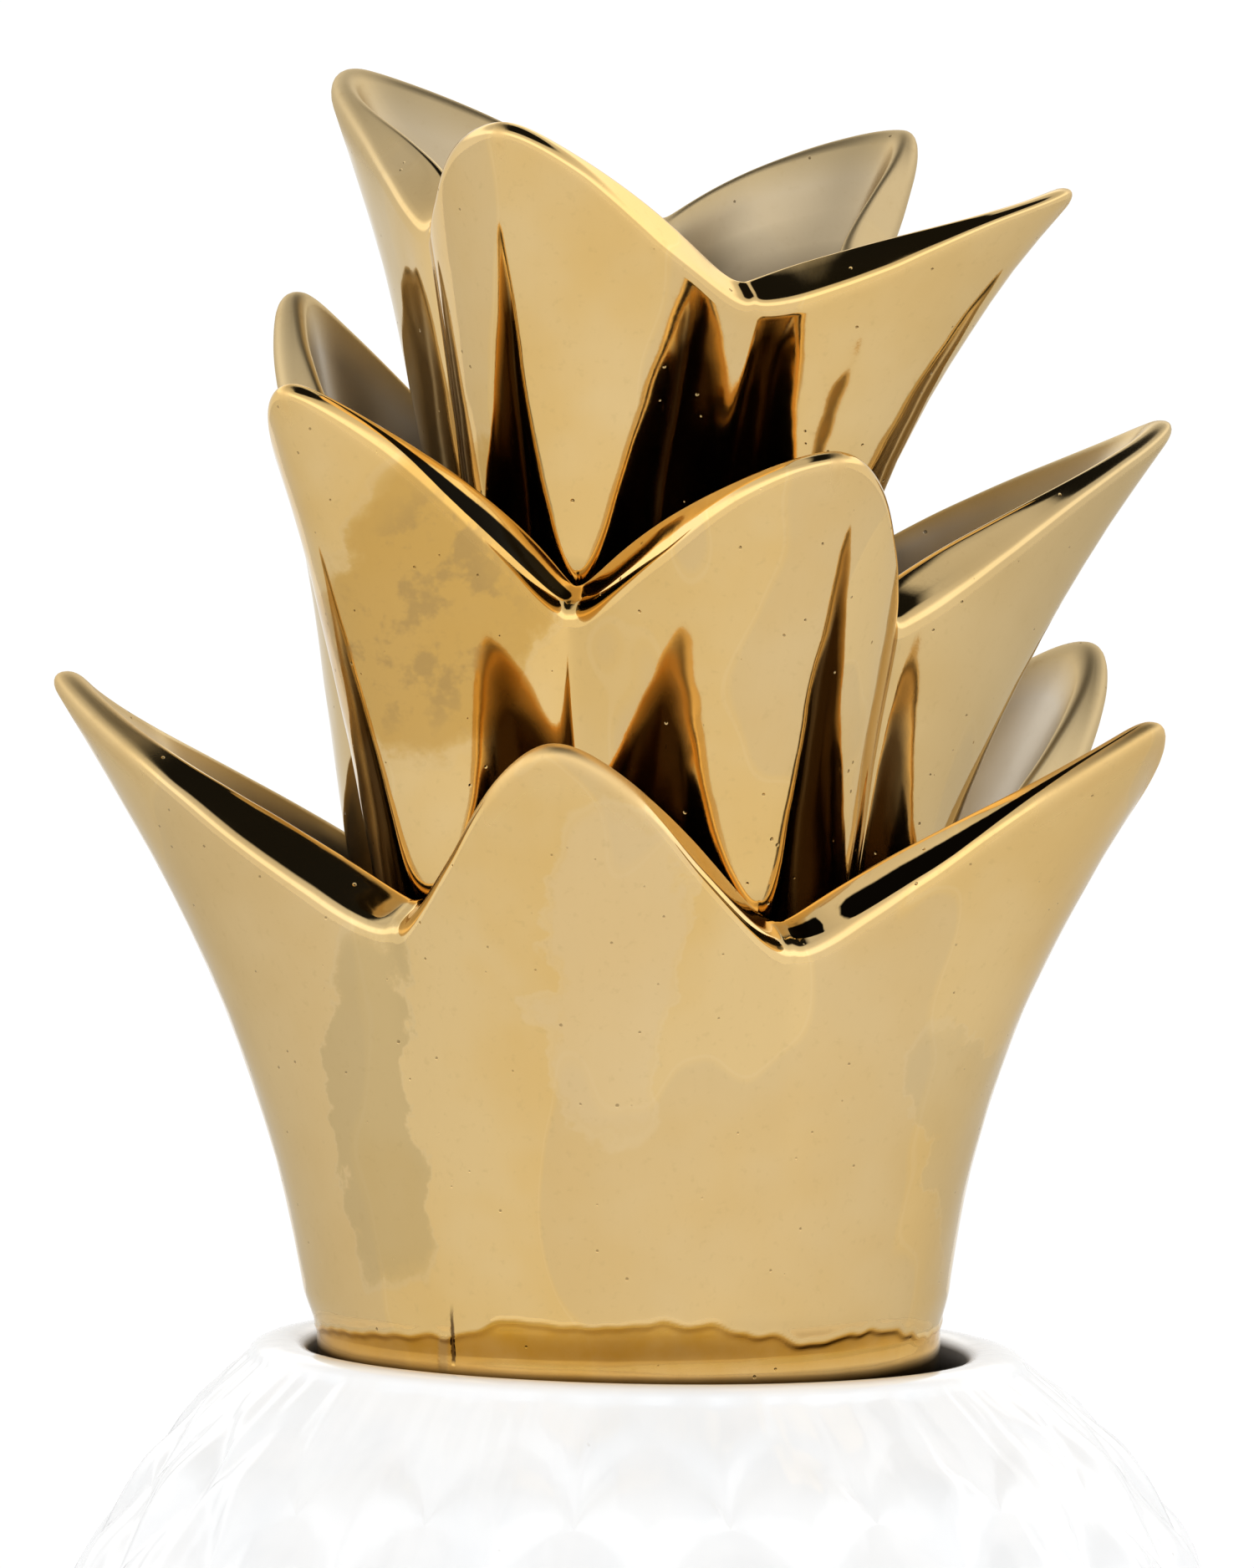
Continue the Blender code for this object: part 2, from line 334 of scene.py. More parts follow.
# The crack that the mould's seam left in the crown's foot, in metres: across, and up from and to,
# with how far left of it the pale ridge runs.
SEAM_X = -0.0164
SEAM_Z = (0.1466, 0.1526)
RIDGE_LEFT = 0.0009

# Scales of the noises that the finishes are drawn with, in cells a metre. Lustre: slow changes,
# flows, ragged outlines, waves, pits and grain. Glaze: where it pools, its specks and its grain.
DRIFT = 55.0
FLOW = 46.0
RAG = 240.0
LUSTRE_WAVES = 70.0
PITS = 380.0
LUSTRE_GRAIN = 1100.0
POOL = 95.0
SPECKS = 520.0
GLAZE_GRAIN = 700.0

# Colours of small marks in the lustre and in the glaze, of the painted shade and the painted dark
# reflection on the lustre, and of the painted shade in the glaze's grooves and mouth, the tint of
# the lustre's gloss, and how much clear coat the glaze has.
PIT_COLOR = (0.10, 0.06, 0.02)
PAINTED_SHADE_COLOR = (0.03, 0.014, 0.003)
DARK_REFLECTION_COLOR = (0.003, 0.002, 0.001)
CRACK_COLOR = (0.05, 0.02, 0.008)
GLOSS_TINT = (0.86, 0.81, 0.70)
SPECK_COLOR = (0.55, 0.52, 0.48)
BARE_COLOR = (0.80, 0.76, 0.69)
GROOVE_SHADE_COLOR = (0.60, 0.61, 0.62)
SHADOW_COLOR = (0.02, 0.015, 0.01)
GLAZE_COAT = 0.25

# Studio: how bright it is from straight down (-1) over the horizon (0) to straight up (1), as
# parts of the wall light. On the left, the ceiling is lit too: from and to across and up. The
# lamp's place, aim and size are in metres.
STUDIO_LIGHT = [
    (-1.0, 0.53),
    (0.18, 0.53),
    (0.28, 0.85),
    (0.46, 0.85),
    (0.60, 0.50),
    (0.74, 0.42),
    (0.79, 0.38),
    (0.84, 0.006),
]
LIT_ACROSS = (-0.38, -0.2)
LIT_UP = (0.7, 0.84)
LIT_LIGHT = 0.38
LAMP_PLACE = Vector((0.4, -1.1, 1.2))
LAMP_AIM = Vector((0.0, 0.0, 0.12))
LAMP_SIZE = 0.8
LAMP_WATTS = 6.0
FLOOR_SIDES = 128

# Camera: the height of its picture at the jar's axis and the picture's middle, in metres.
SENSOR = 36.0
FRAME_HEIGHT = 0.1407
AIM = Vector((-0.00094, 0.0, 0.1966))


def lerp(a, b, t):
    return a + (b - a) * t


def smooth(low, high, value):
    """Runs from 0 at low to 1 at high, level at both ends."""
    t = min(1.0, max(0.0, (value - low) / (high - low)))
    return t * t * (3.0 - 2.0 * t)


def point(azimuth, radius, height, shift=0.0):
    """A point in metres at an azimuth in radians from the front, growing to the right."""
    x = shift + radius * math.sin(azimuth)
    return Vector((x, -radius * math.cos(azimuth), height)) * MM


def skin(name, columns, rows, place, names):
    """One closed skin of columns round the axis and rows from pole to pole. place gives, for a
    column, the points of its rows, each with the values that the mesh holds under the names."""
    bm = bmesh.new()
    bmesh.ops.create_grid(bm, x_segments=columns, y_segments=rows - 1, size=0.5)
    layers = [bm.verts.layers.float.new(key) for key in names]
    lines = [place(column) for column in range(columns)]
    for vert in bm.verts:
        column = round((vert.co.x + 0.5) * columns) % columns
        row = round((vert.co.y + 0.5) * (rows - 1))
        vert.co, values = lines[column][row]
        for layer, value in zip(layers, values):
            vert[layer] = value
    bmesh.ops.remove_doubles(bm, verts=bm.verts, dist=0.000002)
    bmesh.ops.recalc_face_normals(bm, faces=bm.faces)
    for face in bm.faces:
        face.smooth = True
    mesh = bpy.data.meshes.new(name)
    bm.to_mesh(mesh)
    bm.free()
    item = bpy.data.objects.new(name, mesh)
    bpy.context.scene.collection.objects.link(item)
    return item


def body_radius(z):
    """The jar's round form under its scales: full shoulder, narrower hip, cut flat at the foot."""
    if z > EQUATOR_Z:
        reach = (z - EQUATOR_Z) / SHOULDER_REACH
        return BODY_R * (1.0 - reach**SHOULDER_POWER) ** (1.0 / SHOULDER_POWER)
    reach = (EQUATOR_Z - z) / HIP_REACH
    return BODY_R * (1.0 - reach**HIP_POWER) ** (1.0 / HIP_POWER)


def scale_height_table():
    """Heights for steps along the jar's curve, spread so that scales grow towards the waist."""
    heights = [lerp(SCALES_LOW, SCALES_HIGH, i / CURVE_STEPS) for i in range(CURVE_STEPS + 1)]
    lengths = [0.0]
    for a, b in zip(heights, heights[1:]):
        width = 0.5 * (body_radius(a) + body_radius(b))
        step = math.hypot(b - a, body_radius(b) - body_radius(a))
        lengths.append(lengths[-1] + step / width**SCALE_GROWTH)
    table = []
    index = 0
    for step in range(CURVE_STEPS + 1):
        goal = lengths[-1] * step / CURVE_STEPS
        while index < CURVE_STEPS - 1 and lengths[index + 1] < goal:
            index += 1
        part = (goal - lengths[index]) / (lengths[index + 1] - lengths[index])
        table.append(lerp(heights[index], heights[index + 1], min(1.0, part)))
    return table


class ScaleField:
    """The raised scales: places are counted in scale rows, from 0 at the foot to SCALE_ROWS."""

    def __init__(self, relief, lip, waves):
        self.relief = relief
        self.lip = lip
        self.waves = waves
        self.table = scale_height_table()

    def height(self, place):
        """Height on the jar of a place that is counted in scale rows."""
        if place > SCALE_ROWS:
            part = min(1.0, (place - SCALE_ROWS) / COLLAR_ROWS)
            return lerp(SCALES_HIGH, COLLAR_TOP, part)
        step = max(0.0, place) / SCALE_ROWS * CURVE_STEPS
        index = min(CURVE_STEPS - 1, int(step))
        return lerp(self.table[index], self.table[index + 1], step - index)

    def side(self, azimuth, row):
        """-1 to 1 across the scale of that row that holds the azimuth, 0 on its spine."""
        across = (azimuth - SCALE_TURN) / (TURN / SCALES_ROUND / 2.0) + 1.0
        return (across - row + 1.0) % 2.0 - 1.0

    def top(self, azimuth, row):
        """Upper edge of the scales of a row, a run of rounded points."""
        if row < 0:
            return 0.0
        if row >= SCALE_ROWS:
            return SCALE_ROWS + COLLAR_ROWS
        side = min(1.0, abs(self.side(azimuth, row)))
        return row + SCALE_REACH * (1.0 - side**SCALE_OUTLINE) ** (1.0 / SCALE_OUTLINE)

    def points(self, azimuth):
        """(radius, height, how deep in a groove) up the scaled part of the jar at one azimuth."""
        line = []
        for row in range(SCALE_ROWS + 1):
            steps = FINE_STEPS if row >= FINE_FROM else PLAIN_STEPS
            low = self.top(azimuth, row - 1) + (SCALE_GAP if row else 0.0)
            high = max(low + SCALE_LEAST, self.top(azimuth, row))
            side = self.side(azimuth, row)
            count = math.floor((azimuth / TURN) * SCALES_ROUND + 0.5 * row)
            grow = 1.0 + SCALE_UNEVEN * noise.noise(Vector((count, row, 0.0)) * 1.37)
            for step in range(steps + 1):
                t = step / steps
                line.append(self.raised(lerp(low, high, t), t, side, row, grow, azimuth))
        return line

    def raised(self, place, t, side, row, grow, azimuth):
        """One point of a scale: two facets that meet in a narrow flat spine, highest midway up,
        with a low lip at the scale's top. t runs up the scale, and grow differs from scale to
        scale."""
        z = self.height(place)
        stray = SPINE_STRAY * math.sin(grow * SPINE_CHANCE + 2.0 * t)
        away = abs(side + stray * (1.0 - side * side))
        slope = max(0.0, away - SPINE_HALF) / (1.0 - SPINE_HALF)
        soft = row > SOFT_FROM
        peak = math.sin(math.pi * t) ** (SOFT_PEAK if soft else PEAK)
        fade = min(1.0, (row + 0.5) / 1.5)
        if row == SCALE_ROWS:
            fade = 0.5 * (1.0 - t) * (1.0 + math.sin(grow * TOP_CHANCE))
        height = self.relief * grow * fade * (1.0 - slope) * peak
        height += self.lip * fade * t * (1.0 - 0.7 * abs(side))
        ahead = self.height(place + 0.05)
        behind = self.height(place - 0.05)
        rise = ahead - behind
        run = body_radius(ahead) - body_radius(behind)
        size = max(1e-6, math.hypot(rise, run))
        across = math.sin(azimuth) * WAVES_ROUND
        along = math.cos(azimuth) * WAVES_ROUND
        spot = Vector((across, along, z / WAVES_UP))
        height += self.waves * (noise.noise(spot) + 0.5 * noise.noise(spot * 2.7))
        groove = fade * (1.0 - (1.0 - slope) * peak) * (SOFT_GROOVE if soft else 1.0)
        return body_radius(z) + height * rise / size, z - height * run / size, groove


def inner_line():
    """(radius, height) over the rim of the mouth, round the ledge, and down the jar's inside."""
    line = []
    rim = 0.5 * (body_radius(COLLAR_TOP) - MOUTH_R)
    rim_z = COLLAR_TOP - 0.2
    for step in range(1, MOUTH_STEPS):
        turn = math.pi * step / MOUTH_STEPS
        radius = MOUTH_R + rim + rim * math.cos(turn)
        line.append((radius, rim_z + (MOUTH_Z - rim_z) * math.sin(turn) ** 0.8))
    line.append((MOUTH_R, COLLAR_TOP - 1.5))
    line.append((MOUTH_R, LEDGE_Z + 0.3))
    line.append((MOUTH_R - 0.3, LEDGE_Z))
    line.append((LEDGE_R + 0.4, LEDGE_Z))
    line.append((LEDGE_R, LEDGE_Z - 0.4))
    line.append((LEDGE_R, LEDGE_Z - LEDGE_T))
    for step in range(INSIDE_STEPS):
        part = 0.5 - 0.5 * math.cos(math.pi * step / INSIDE_STEPS)
        z = lerp(LEDGE_Z - LEDGE_T - 3.7, FLOOR_Z + 6.0, part)
        line.append((body_radius(z) - WALL, z))
    line.append((body_radius(FLOOR_Z + 4.0) - WALL - 2.0, FLOOR_Z + 2.5))
    line.append((body_radius(FLOOR_Z) - WALL - FLOOR_EDGE, FLOOR_Z))
    line.append((0.0, FLOOR_Z))
    return line


def jar_line(field, azimuth):
    """Points of the jar from the middle of its foot, up its scales, and down its inside, each
    with how deep it lies in a groove between scales."""
    foot = [(radius, z, 0.0) for radius, z in JAR_FOOT]
    inner = [(radius, z, 0.0) for radius, z in inner_line()]
    return foot + field.points(azimuth) + inner


def tilted(azimuth, radius, z):
    """The jar's mouth was cut a little off level: its right side is lower."""
    part = smooth(MOUTH_Z - TILT_REACH, MOUTH_Z, z)
    return z - part * MOUTH_TILT * radius * math.sin(azimuth)


def mouth_shade(radius, z):
    """The mouth's inner wall and its ledge lie out of the light, under the crown."""
    inside = 1.0 - smooth(MOUTH_R, MOUTH_R + 1.2, radius)
    return inside * smooth(LEDGE_Z - LEDGE_T - 0.5, LEDGE_Z, z)


# A stop on the way round a tier: the tip of a leaf or the bottom of a valley.
Stop = namedtuple("Stop", "azimuth height radius is_leaf blunt pinch")


def marks(dark=0.0, pale=0.0, satin=0.0, pooled=0.0):
    """What a point of the crown holds for its material, in the order of CROWN_MARKS."""
    return [dark, pale, satin, pooled]


class Tier:
    """One cup of leaves: its wall, its cut edge and its thickness round the axis."""

    def __init__(self, data):
        self.data = data
        stops = []
        for azimuth, height, radius, blunt, pinch in data["leaves"]:
            stops.append(Stop(math.radians(azimuth), height, radius, True, blunt, pinch))
        for azimuth, height, radius in data["valleys"]:
            stops.append(Stop(math.radians(azimuth), height, radius, False, 0.0, 1.0))
        stops.sort()
        self.start = stops[0].azimuth
        stops.append(stops[0]._replace(azimuth=self.start + TURN))
        self.stops = stops

    def azimuth(self, column, columns):
        """The column's azimuth, moved a little so that tips and valleys fall on columns."""
        plain = TURN * column / columns
        count = round((plain - self.start) / TURN * columns) % columns
        knots = [round((stop.azimuth - self.start) / TURN * columns) for stop in self.stops]
        index = max(i for i in range(len(self.stops) - 1) if knots[i] <= count)
        part = (count - knots[index]) / (knots[index + 1] - knots[index])
        azimuth = lerp(self.stops[index].azimuth, self.stops[index + 1].azimuth, part)
        return plain + (azimuth - plain + math.pi) % TURN - math.pi

    def locate(self, azimuth):
        """The leaf and valley around an azimuth, and how far it is from leaf (0) to valley (1)."""
        azimuth = self.start + (azimuth - self.start) % TURN
        for a, b in zip(self.stops, self.stops[1:]):
            if a.azimuth <= azimuth <= b.azimuth + 1e-9:
                part = min(1.0, max(0.0, (azimuth - a.azimuth) / (b.azimuth - a.azimuth)))
                return (a, b, part) if a.is_leaf else (b, a, 1.0 - part)
        raise ValueError("no leaf stands at this azimuth")

    def ease(self, part, soft):
        """Runs from 1 at the leaf's middle to 0 at the valley, rounded at both ends."""
        top = math.sqrt(1.0 + soft * soft) - soft
        fall = max(0.0, 1.0 - (math.sqrt(part * part + soft * soft) - soft) / top)
        low = math.sqrt(1.0 + VALLEY_SOFT**2) - VALLEY_SOFT
        return (math.sqrt(fall * fall + VALLEY_SOFT**2) - VALLEY_SOFT) / low

    def flare(self, stop, root):
        """How fast the wall flares from its root's radius to reach a tip or a valley."""
        rise = stop.height - self.data["foot"][0]
        return (stop.radius - root - self.data["slope"] * rise) / rise ** self.data["flare"]

    def radius(self, azimuth, height):
        """Radius of the wall's outside."""
        leaf, valley, part = self.locate(azimuth)
        base, leaf_root, valley_root = self.data["foot"]
        along = self.ease(part, self.data["keel"]) ** leaf.pinch
        root = lerp(valley_root, leaf_root, along)
        flare = lerp(self.flare(valley, valley_root), self.flare(leaf, leaf_root), along)
        rise = max(0.0, height - base)
        curl = CURL_DEPTH * (1.0 - smooth(CURL_LOW, CURL_TOP, height))
        wall = root + self.data["slope"] * (height - base) + flare * rise ** self.data["flare"]
        return wall - curl

    def rim(self, azimuth):
        """Height of the cut edge, its thickness, the radius of its outer rounding, the slope of
        its cut face and the radius of its inner rounding."""
        leaf, valley, part = self.locate(azimuth)
        fall = self.ease(part, leaf.blunt)
        height = lerp(valley.height, leaf.height, fall ** self.data["fall"])
        tip, low, swell = self.data["edge"]
        late = part**SWELL_POWER
        thick = lerp(tip, low, part) + swell * 4.0 * late * (1.0 - late)
        outer = lerp(*self.data["round"], part)
        off_tip = smooth(*TIP_ENDS, part)
        inner = lerp(TIP_ROUND, INNER_ROUND, off_tip)
        return height, thick, outer, CUT_SLANT * off_tip, inner

    def edge(self, azimuth):
        """(depth into the wall, height) over the edge: a rounding, the slanting cut face, and a
        small rounding to the inside."""
        top, thick, outer, cut, inner = self.rim(azimuth)
        slant = math.atan(cut)
        last = 0.5 * math.pi - slant
        inner_d = thick - inner
        cut_end = (inner_d - inner * math.sin(slant), top - inner * (1.0 - math.cos(slant)))
        first_d = outer * (1.0 - math.cos(last))
        low = cut_end[1] - cut * (cut_end[0] - first_d) - outer * math.sin(last)
        line = []
        for step in range(ROUND_STEPS):
            turn = last * step / ROUND_STEPS
            line.append((outer * (1.0 - math.cos(turn)), low + outer * math.sin(turn)))
        cut_start = (first_d, low + outer * math.sin(last))
        for step in range(CUT_STEPS):
            part = step / CUT_STEPS
            depth = lerp(cut_start[0], cut_end[0], part)
            line.append((depth, lerp(cut_start[1], cut_end[1], part)))
        for step in range(RIM_STEPS + 1):
            turn = lerp(-slant, 0.5 * math.pi, step / RIM_STEPS)
            line.append((inner_d + inner * math.sin(turn), top - inner * (1.0 - math.cos(turn))))
        return line

    def shade(self, azimuth, top, height):
        """How far a place on the inside of the wall lies out of the light, from 0 to 1."""
        valley = self.locate(azimuth)[1]
        near = smooth(*SHADE_NEAR, math.cos(azimuth))
        start = lerp(DARK_BEHIND[0], DARK_IN_FRONT[0], near)
        end = lerp(DARK_BEHIND[1], DARK_IN_FRONT[1], near)
        under = smooth(*DARK_UNDER_VALLEY, valley.height - height)
        return max(under, smooth(start, end, top - height))

    def pooled(self, azimuth):
        """1 where a painted dark reflection of the ceiling lies on the cut face, 0 elsewhere."""
        most = 0.0
        for middle, half in self.data["pooled"]:
            away = abs((math.degrees(azimuth) - middle + 180.0) % 360.0 - 180.0) / half
            most = max(most, 1.0 - smooth(0.75, 1.0, away))
        return most

    def outside(self, azimuth, end):
        """Points up the outside of the wall to where its edge starts to round."""
        base = self.data["foot"][0]
        lowest = base < FOOT_ZONE
        heights = []
        if lowest:
            heights = [lerp(base, FOOT_ZONE, step / FOOT_STEPS) for step in range(FOOT_STEPS)]
        start = max(base, FOOT_ZONE)
        heights += [lerp(start, end, step / WALL_STEPS) for step in range(WALL_STEPS)]
        points = []
        for height in heights:
            dark = 0.0 if lowest else 1.0 - smooth(*DARK_OVER_TROUGH, height - base)
            points.append((self.radius(azimuth, height), height, marks(dark=dark)))
        return points

    def section(self, azimuth, floor, pale):
        """Points from the foot of the wall over its edge and down inside to the floor, each as
        radius, height and marks."""
        top, thick = self.rim(azimuth)[:2]
        over = self.edge(azimuth)
        points = self.outside(azimuth, over[0][1])
        behind = 1.0 - smooth(*SATIN_NEAR, math.cos(azimuth))
        tip = 1.0 - smooth(*self.data["satin_tips"], self.locate(azimuth)[2])
        most = self.pooled(azimuth)
        # The cut face's middle steps hold the painted dark reflection of the ceiling.
        shades = [0.0] * ROUND_STEPS + CUT_SHADE + [0.0] * (RIM_STEPS + 1)
        for (depth, height), shade in zip(over, shades):
            held = marks(satin=max(behind, tip), pooled=shade * most)
            points.append((self.radius(azimuth, height) - depth, height, held))
        for step in range(1, INNER_STEPS + 1):
            height = lerp(over[-1][1], floor, step / INNER_STEPS)
            depth = lerp(thick, WALL_IN, min(1.0, 2.0 * step / INNER_STEPS))
            dark = self.shade(azimuth, top, height)
            held = marks(dark=dark, pale=pale, satin=lerp(*SATIN_INSIDE, behind))
            points.append((self.radius(azimuth, height) - depth, height, held))
        return points


def lip_height(azimuth):
    """Height of the wavy lip that the mould left round the crown's foot."""
    spot = Vector((math.sin(azimuth), math.cos(azimuth), 0.0))
    wave = LIP_WAVE * sum(noise.noise(spot * ripple) for ripple in LIP_RIPPLES)
    degrees = LIP_LINE[0][0] + (math.degrees(azimuth) - LIP_LINE[0][0]) % 360.0
    for (a, low), (b, high) in zip(LIP_LINE, LIP_LINE[1:]):
        if degrees <= b:
            return lerp(low, high, smooth(a, b, degrees)) + wave
    return LIP_LINE[-1][1] + wave


def lip(azimuth, height):
    """How far the wavy lip stands out of the crown's foot."""
    return LIP_HEIGHT * math.exp(-(((height - lip_height(azimuth)) / LIP_WIDTH) ** 2))


def crown_line(tiers, column, wobble):
    """Points of the crown's column: its underside, its foot and its three rings of leaves."""
    spans = [tier.azimuth(column, LID_COLUMNS) for tier in tiers]
    # The underside, the trough between the lower rings and the cup floor are filled with painted
    # shade.
    line = [(spans[0], radius, height, marks(dark=1.0)) for radius, height in UNDERSIDE]
    for radius, height in FOOT:
        dark = 1.0 - smooth(*DARK_UNDER_FOOT, height)
        line.append((spans[0], radius, height, marks(dark=dark)))
    for tier, span, floor, pale in zip(tiers, spans, TIER_FLOORS, PALE_INSIDE):
        for radius, height, held in tier.section(span, floor, pale):
            spot = Vector((radius * math.sin(span), radius * math.cos(span), height)) / WOBBLE_WIDTH
            uneven = noise.noise(spot) + 0.3 * noise.noise(spot * 4.3)
            radius += wobble * uneven * smooth(*WOBBLE_FROM, height) + lip(span, height)
            line.append((span, radius, height, held))
        if tier is tiers[0]:
            between = 0.5 * (spans[0] + spans[1])
            line.append((between, *TROUGH, marks(dark=1.0, pale=1.0)))
    line.append((spans[2], *CUP_EDGE, marks(dark=1.0)))
    line.append((spans[2], 0.0, CUP_FLOOR, marks(dark=1.0)))
    points = []
    for azimuth, radius, height, held in line:
        over_lip = smooth(0.0, 0.3, height - lip_height(azimuth))
        under = (1.0 - over_lip) * smooth(*LIP_FADE, height)
        points.append((point(azimuth, radius, MOUTH_Z + height, LID_X), held + [under]))
    return points


class Wire:
    """A shader socket that takes part in sums: an expression on wires adds its Math nodes."""

    def __init__(self, maker, socket):
        self.maker = maker
        self.socket = socket

    def math(self, operation, first, second):
        return self.maker.node("ShaderNodeMath", {"operation": operation}, {0: first, 1: second})

    def __add__(self, other):
        return self.math("ADD", self, other)

    def __radd__(self, other):
        return self.math("ADD", other, self)

    def __sub__(self, other):
        return self.math("SUBTRACT", self, other)

    def __rsub__(self, other):
        return self.math("SUBTRACT", other, self)

    def __mul__(self, other):
        return self.math("MULTIPLY", self, other)

    def __rmul__(self, other):
        return self.math("MULTIPLY", other, self)

    def __truediv__(self, other):
        return self.math("DIVIDE", self, other)

    def __rtruediv__(self, other):
        return self.math("DIVIDE", other, self)

    def __pow__(self, other):
        return self.math("POWER", self, other)

    def __rpow__(self, other):
        return self.math("POWER", other, self)

    def __abs__(self):
        return self.math("ABSOLUTE", self, 0.0)


class Maker:
    """Adds nodes to one tree."""

    def __init__(self, tree):
        self.tree = tree
        tree.nodes.clear()

    def node(self, kind, settings=None, sockets=None, out=0):
        """A node of a kind: its settings first, then the values or links of its sockets."""
        node = self.tree.nodes.new(kind)
        for name, value in (settings or {}).items():
            if name == "stops":
                ramp = node.color_ramp
                while len(ramp.elements) < len(value):
                    ramp.elements.new(1.0)
                for element, (place, color) in zip(ramp.elements, value):
                    element.position = place
                    element.color = color
            else:
                setattr(node, name, value)
        for name, value in (sockets or {}).items():
            if isinstance(value, Wire):
                self.tree.links.new(value.socket, node.inputs[name])
            else:
                node.inputs[name].default_value = value
        return Wire(self, node.outputs[out]) if node.outputs else None

    def mix(self, factor, a, b):
        """A colour between a and b."""
        settings = {"data_type": "RGBA", "clamp_factor": True}
        return self.node("ShaderNodeMix", settings, {0: factor, 6: a, 7: b}, out=2)

    def step(self, value, low, high):
        """0 below low, 1 above high, smooth between."""
        settings = {"interpolation_type": "SMOOTHSTEP", "clamp": True}
        return self.node("ShaderNodeMapRange", settings, {0: value, 1: low, 2: high})

    def place(self):
        """Where a point of the piece lies, in metres."""
        return self.node("ShaderNodeTexCoord", out=3)

    def noise(self, vector, scale, detail=2.0, rough=0.5):
        sockets = {"Vector": vector, "Scale": scale, "Detail": detail, "Roughness": rough}
        return self.node("ShaderNodeTexNoise", {}, sockets)

    def held(self, name):
        """A value that the mesh holds at its points."""
        return self.node("ShaderNodeAttribute", {"attribute_name": name}, out=2)

    def stretched(self, vector, scale):
        """The vector with each part multiplied."""
        return self.node("ShaderNodeMapping", {}, {"Vector": vector, "Scale": scale})

    def parts(self, vector):
        """The three parts of a vector."""
        first = self.node("ShaderNodeSeparateXYZ", {}, {0: vector})
        return [Wire(self, output) for output in first.socket.node.outputs]

    def bump(self, height, strength, distance, normal=None):
        sockets = {"Height": height, "Strength": strength, "Distance": distance}
        if normal:
            sockets["Normal"] = normal
        return self.node("ShaderNodeBump", {}, sockets)


def rgb(red, green, blue):
    return (red, green, blue, 1.0)


def grey(light):
    return rgb(light, light, light)


def new_material(name):
    material = bpy.data.materials.new(name)
    material.use_nodes = True
    return material, Maker(material.node_tree)


def finish_surface(maker, sockets):
    """Ends a tree with its surface shader and output."""
    surface = maker.node("ShaderNodeBsdfPrincipled", {}, sockets)
    maker.node("ShaderNodeOutputMaterial", {}, {"Surface": surface})


def patch(x, z, place, size):
    """How far a spot is from the middle of a patch, 1 on its outline. Place and size in metres."""
    far_x = abs((x - place[0]) / size[0])
    far_z = abs((z - place[1]) / size[1])
    return (far_x**3.0 + far_z**3.0) ** (1.0 / 3.0)


def lustre_layers(maker, settings, spot, drift):
    """The lustre's own colour, with flows where it lies thin and the fine lines at their edges."""
    pale = maker.step(drift, 0.35, 0.68)
    color = maker.mix(pale, rgb(*settings.lustre), rgb(*settings.lustre_pale))
    flow = maker.noise(maker.stretched(spot, (1.0, 1.0, 0.45)), FLOW, 2.0, 0.45)
    color = maker.mix(maker.step(flow, 0.53, 0.545) * 0.3, color, rgb(*settings.lustre_thin))
    edge = 1.0 - maker.step(abs(flow - 0.53), 0.001, 0.004)
    return maker.mix(edge * 0.1, color, rgb(*settings.lustre_edge))


def seam_marks(maker, x, z, rag, visible):
    """The pale ridge and the crack beside it that the mould's seam left in the crown's foot."""
    ridge = x - SEAM_X + RIDGE_LEFT + (rag - 0.5) * 0.0008
    ridge = (1.0 - maker.step(abs(ridge), 0.0002, 0.0006)) * visible
    crack = x - SEAM_X + (rag - 0.5) * 0.0006 + (z - SEAM_Z[0]) * 0.04
    crack = 1.0 - maker.step(abs(crack), 0.00008, 0.00022)
    above = maker.step(z, SEAM_Z[0], SEAM_Z[0] + 0.0006)
    below = 1.0 - maker.step(z, SEAM_Z[1] - 0.002, SEAM_Z[1])
    return ridge, crack * above * below


